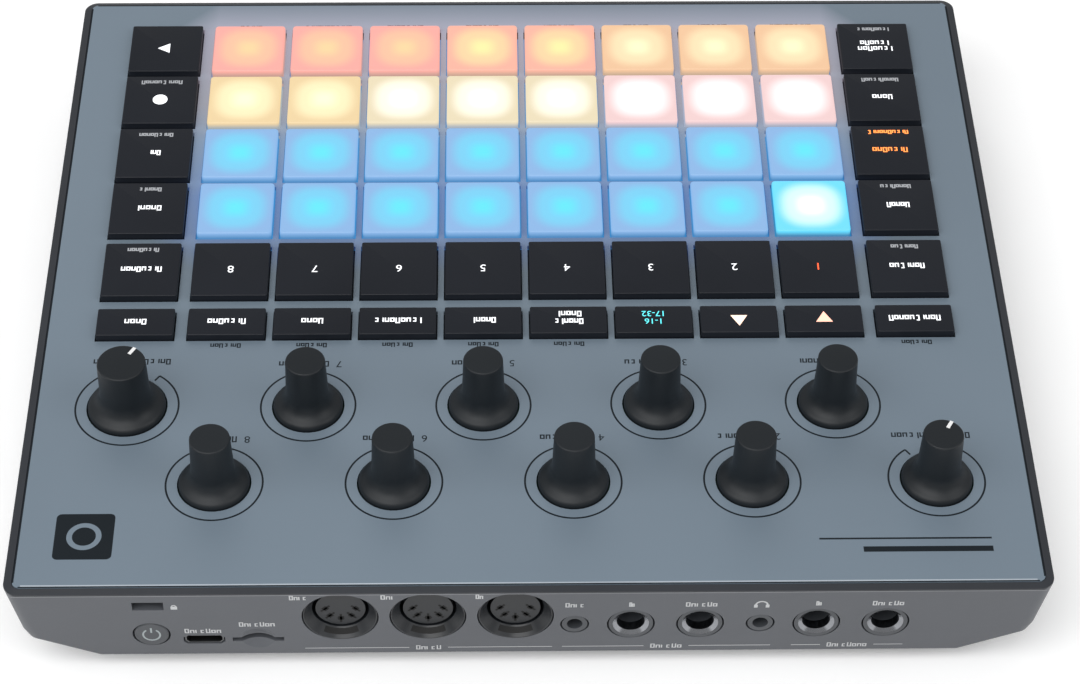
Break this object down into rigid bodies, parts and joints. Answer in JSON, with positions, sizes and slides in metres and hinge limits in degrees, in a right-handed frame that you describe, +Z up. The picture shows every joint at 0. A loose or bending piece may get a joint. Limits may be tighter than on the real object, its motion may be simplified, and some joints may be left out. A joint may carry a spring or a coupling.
{
  "type": "drum machine",
  "caption": "Table-top drum machine with a grid of lit pads, framed by push buttons, two staggered rows of flared knobs and a rear wall of audio and control sockets.",
  "frame": {"origin": "middle of the footprint, on the plane the feet stand on", "axes": "+X to the player's right along the long side, +Y away from the player towards the sockets, +Z up"},
  "size_m": [0.24, 0.21, 0.045],
  "materials": {
    "case_grey": "fine matt texture",
    "frame_dark": "satin",
    "plate_paint": "satin grey-blue paint",
    "pad_silicone": "soft translucent silicone, lit from below",
    "sensor_film": "printed film",
    "circuit_board": "solder mask",
    "key_black": "satin",
    "switch_black": "satin",
    "button_black": "satin",
    "knob_black": "soft satin",
    "control_metal": "plain",
    "socket_black": "satin",
    "collar_bright": "polished",
    "port_metal": "satin",
    "battery_wrap": "shrink film",
    "ribbon_grey": "matt",
    "foot_rubber": "matt",
    "screw_steel": "plain"
  },
  "bodies": {
    "body": {"bottom_case": "case_grey", "top_frame": "frame_dark", "face_plate": "plate_paint", "pad_mat": "pad_silicone", "pad_sensor_film": "sensor_film", "main_board": "circuit_board", "key_switches": "switch_black", "encoder_bodies": "control_metal", "potentiometers": "control_metal", "connector_board": "circuit_board", "din_sockets": "socket_black", "jack_sockets_large": "socket_black", "jack_collars": "collar_bright", "jack_sockets_small": "socket_black", "usb_socket": "port_metal", "card_socket": "port_metal", "power_switch": "switch_black", "battery_pack": "battery_wrap", "ribbon_cable": "ribbon_grey", "rubber_feet": "foot_rubber", "case_screws": "screw_steel"},
    "play_button": {"play_button": "key_black"},
    "record_button": {"record_button": "key_black"},
    "effects_button": {"effects_button": "key_black"},
    "mixer_button": {"mixer_button": "key_black"},
    "pattern_settings_button": {"pattern_settings_button": "key_black"},
    "gate_button": {"gate_button": "key_black"},
    "velocity_button": {"velocity_button": "key_black"},
    "note_button": {"note_button": "key_black"},
    "patterns_button": {"patterns_button": "key_black"},
    "sample_button": {"sample_button": "key_black"},
    "track_button_1": {"track_button_1": "key_black"},
    "track_button_2": {"track_button_2": "key_black"},
    "track_button_3": {"track_button_3": "key_black"},
    "track_button_4": {"track_button_4": "key_black"},
    "track_button_5": {"track_button_5": "key_black"},
    "track_button_6": {"track_button_6": "key_black"},
    "track_button_7": {"track_button_7": "key_black"},
    "track_button_8": {"track_button_8": "key_black"},
    "down_button": {"down_button": "key_black"},
    "up_button": {"up_button": "key_black"},
    "page_button": {"page_button": "key_black"},
    "tempo_button": {"tempo_button": "key_black"},
    "clear_button": {"clear_button": "key_black"},
    "duplicate_button": {"duplicate_button": "key_black"},
    "save_button": {"save_button": "key_black"},
    "projects_button": {"projects_button": "key_black"},
    "shift_button": {"shift_button": "key_black"},
    "sample_record_button": {"sample_record_button": "key_black"},
    "encoder_knob_1": {"encoder_knob_1": "knob_black"},
    "encoder_knob_2": {"encoder_knob_2": "knob_black"},
    "encoder_knob_3": {"encoder_knob_3": "knob_black"},
    "encoder_knob_4": {"encoder_knob_4": "knob_black"},
    "encoder_knob_5": {"encoder_knob_5": "knob_black"},
    "encoder_knob_6": {"encoder_knob_6": "knob_black"},
    "encoder_knob_7": {"encoder_knob_7": "knob_black"},
    "encoder_knob_8": {"encoder_knob_8": "knob_black"},
    "master_filter_knob": {"master_filter_knob": "knob_black"},
    "master_volume_knob": {"master_volume_knob": "knob_black"},
    "power_button": {"power_button": "button_black"}
  },
  "joints": [
    {"name": "play_button_press", "type": "slide", "parent": "body", "child": "play_button", "axis": [0, 0, -1], "range_m": [0, 0.0008], "stiffness_N_per_m": 400, "springref_m": -0.0005},
    {"name": "record_button_press", "type": "slide", "parent": "body", "child": "record_button", "axis": [0, 0, -1], "range_m": [0, 0.0008], "stiffness_N_per_m": 400, "springref_m": -0.0005},
    {"name": "effects_button_press", "type": "slide", "parent": "body", "child": "effects_button", "axis": [0, 0, -1], "range_m": [0, 0.0008], "stiffness_N_per_m": 400, "springref_m": -0.0005},
    {"name": "mixer_button_press", "type": "slide", "parent": "body", "child": "mixer_button", "axis": [0, 0, -1], "range_m": [0, 0.0008], "stiffness_N_per_m": 400, "springref_m": -0.0005},
    {"name": "pattern_settings_button_press", "type": "slide", "parent": "body", "child": "pattern_settings_button", "axis": [0, 0, -1], "range_m": [0, 0.0008], "stiffness_N_per_m": 400, "springref_m": -0.0005},
    {"name": "gate_button_press", "type": "slide", "parent": "body", "child": "gate_button", "axis": [0, 0, -1], "range_m": [0, 0.0008], "stiffness_N_per_m": 400, "springref_m": -0.0005},
    {"name": "velocity_button_press", "type": "slide", "parent": "body", "child": "velocity_button", "axis": [0, 0, -1], "range_m": [0, 0.0008], "stiffness_N_per_m": 400, "springref_m": -0.0005},
    {"name": "note_button_press", "type": "slide", "parent": "body", "child": "note_button", "axis": [0, 0, -1], "range_m": [0, 0.0008], "stiffness_N_per_m": 400, "springref_m": -0.0005},
    {"name": "patterns_button_press", "type": "slide", "parent": "body", "child": "patterns_button", "axis": [0, 0, -1], "range_m": [0, 0.0008], "stiffness_N_per_m": 400, "springref_m": -0.0005},
    {"name": "sample_button_press", "type": "slide", "parent": "body", "child": "sample_button", "axis": [0, 0, -1], "range_m": [0, 0.0008], "stiffness_N_per_m": 400, "springref_m": -0.0005},
    {"name": "track_button_1_press", "type": "slide", "parent": "body", "child": "track_button_1", "axis": [0, 0, -1], "range_m": [0, 0.0008], "stiffness_N_per_m": 400, "springref_m": -0.0005},
    {"name": "track_button_2_press", "type": "slide", "parent": "body", "child": "track_button_2", "axis": [0, 0, -1], "range_m": [0, 0.0008], "stiffness_N_per_m": 400, "springref_m": -0.0005},
    {"name": "track_button_3_press", "type": "slide", "parent": "body", "child": "track_button_3", "axis": [0, 0, -1], "range_m": [0, 0.0008], "stiffness_N_per_m": 400, "springref_m": -0.0005},
    {"name": "track_button_4_press", "type": "slide", "parent": "body", "child": "track_button_4", "axis": [0, 0, -1], "range_m": [0, 0.0008], "stiffness_N_per_m": 400, "springref_m": -0.0005},
    {"name": "track_button_5_press", "type": "slide", "parent": "body", "child": "track_button_5", "axis": [0, 0, -1], "range_m": [0, 0.0008], "stiffness_N_per_m": 400, "springref_m": -0.0005},
    {"name": "track_button_6_press", "type": "slide", "parent": "body", "child": "track_button_6", "axis": [0, 0, -1], "range_m": [0, 0.0008], "stiffness_N_per_m": 400, "springref_m": -0.0005},
    {"name": "track_button_7_press", "type": "slide", "parent": "body", "child": "track_button_7", "axis": [0, 0, -1], "range_m": [0, 0.0008], "stiffness_N_per_m": 400, "springref_m": -0.0005},
    {"name": "track_button_8_press", "type": "slide", "parent": "body", "child": "track_button_8", "axis": [0, 0, -1], "range_m": [0, 0.0008], "stiffness_N_per_m": 400, "springref_m": -0.0005},
    {"name": "down_button_press", "type": "slide", "parent": "body", "child": "down_button", "axis": [0, 0, -1], "range_m": [0, 0.0008], "stiffness_N_per_m": 400, "springref_m": -0.0005},
    {"name": "up_button_press", "type": "slide", "parent": "body", "child": "up_button", "axis": [0, 0, -1], "range_m": [0, 0.0008], "stiffness_N_per_m": 400, "springref_m": -0.0005},
    {"name": "page_button_press", "type": "slide", "parent": "body", "child": "page_button", "axis": [0, 0, -1], "range_m": [0, 0.0008], "stiffness_N_per_m": 400, "springref_m": -0.0005},
    {"name": "tempo_button_press", "type": "slide", "parent": "body", "child": "tempo_button", "axis": [0, 0, -1], "range_m": [0, 0.0008], "stiffness_N_per_m": 400, "springref_m": -0.0005},
    {"name": "clear_button_press", "type": "slide", "parent": "body", "child": "clear_button", "axis": [0, 0, -1], "range_m": [0, 0.0008], "stiffness_N_per_m": 400, "springref_m": -0.0005},
    {"name": "duplicate_button_press", "type": "slide", "parent": "body", "child": "duplicate_button", "axis": [0, 0, -1], "range_m": [0, 0.0008], "stiffness_N_per_m": 400, "springref_m": -0.0005},
    {"name": "save_button_press", "type": "slide", "parent": "body", "child": "save_button", "axis": [0, 0, -1], "range_m": [0, 0.0008], "stiffness_N_per_m": 400, "springref_m": -0.0005},
    {"name": "projects_button_press", "type": "slide", "parent": "body", "child": "projects_button", "axis": [0, 0, -1], "range_m": [0, 0.0008], "stiffness_N_per_m": 400, "springref_m": -0.0005},
    {"name": "shift_button_press", "type": "slide", "parent": "body", "child": "shift_button", "axis": [0, 0, -1], "range_m": [0, 0.0008], "stiffness_N_per_m": 400, "springref_m": -0.0005},
    {"name": "sample_record_button_press", "type": "slide", "parent": "body", "child": "sample_record_button", "axis": [0, 0, -1], "range_m": [0, 0.0008], "stiffness_N_per_m": 400, "springref_m": -0.0005},
    {"name": "encoder_knob_1_turn", "type": "hinge", "parent": "body", "child": "encoder_knob_1", "pos_m": [-0.07378, 0.0475, 0.035], "axis": [0, 0, 1], "continuous": true},
    {"name": "encoder_knob_2_turn", "type": "hinge", "parent": "body", "child": "encoder_knob_2", "pos_m": [-0.0527, 0.0721, 0.035], "axis": [0, 0, 1], "continuous": true},
    {"name": "encoder_knob_3_turn", "type": "hinge", "parent": "body", "child": "encoder_knob_3", "pos_m": [-0.03162, 0.0475, 0.035], "axis": [0, 0, 1], "continuous": true},
    {"name": "encoder_knob_4_turn", "type": "hinge", "parent": "body", "child": "encoder_knob_4", "pos_m": [-0.01054, 0.0721, 0.035], "axis": [0, 0, 1], "continuous": true},
    {"name": "encoder_knob_5_turn", "type": "hinge", "parent": "body", "child": "encoder_knob_5", "pos_m": [0.01054, 0.0475, 0.035], "axis": [0, 0, 1], "continuous": true},
    {"name": "encoder_knob_6_turn", "type": "hinge", "parent": "body", "child": "encoder_knob_6", "pos_m": [0.03162, 0.0721, 0.035], "axis": [0, 0, 1], "continuous": true},
    {"name": "encoder_knob_7_turn", "type": "hinge", "parent": "body", "child": "encoder_knob_7", "pos_m": [0.0527, 0.0475, 0.035], "axis": [0, 0, 1], "continuous": true},
    {"name": "encoder_knob_8_turn", "type": "hinge", "parent": "body", "child": "encoder_knob_8", "pos_m": [0.07378, 0.0721, 0.035], "axis": [0, 0, 1], "continuous": true},
    {"name": "master_filter_knob_turn", "type": "hinge", "parent": "body", "child": "master_filter_knob", "pos_m": [0.0962, 0.0475, 0.035], "axis": [0, 0, 1], "range_deg": [-300, 0]},
    {"name": "master_volume_knob_turn", "type": "hinge", "parent": "body", "child": "master_volume_knob", "pos_m": [-0.0962, 0.0721, 0.035], "axis": [0, 0, 1], "range_deg": [-300, 0]},
    {"name": "power_button_press", "type": "slide", "parent": "body", "child": "power_button", "axis": [0, -1, 0], "range_m": [0, 0.0008], "stiffness_N_per_m": 400, "springref_m": -0.0005}
  ]
}
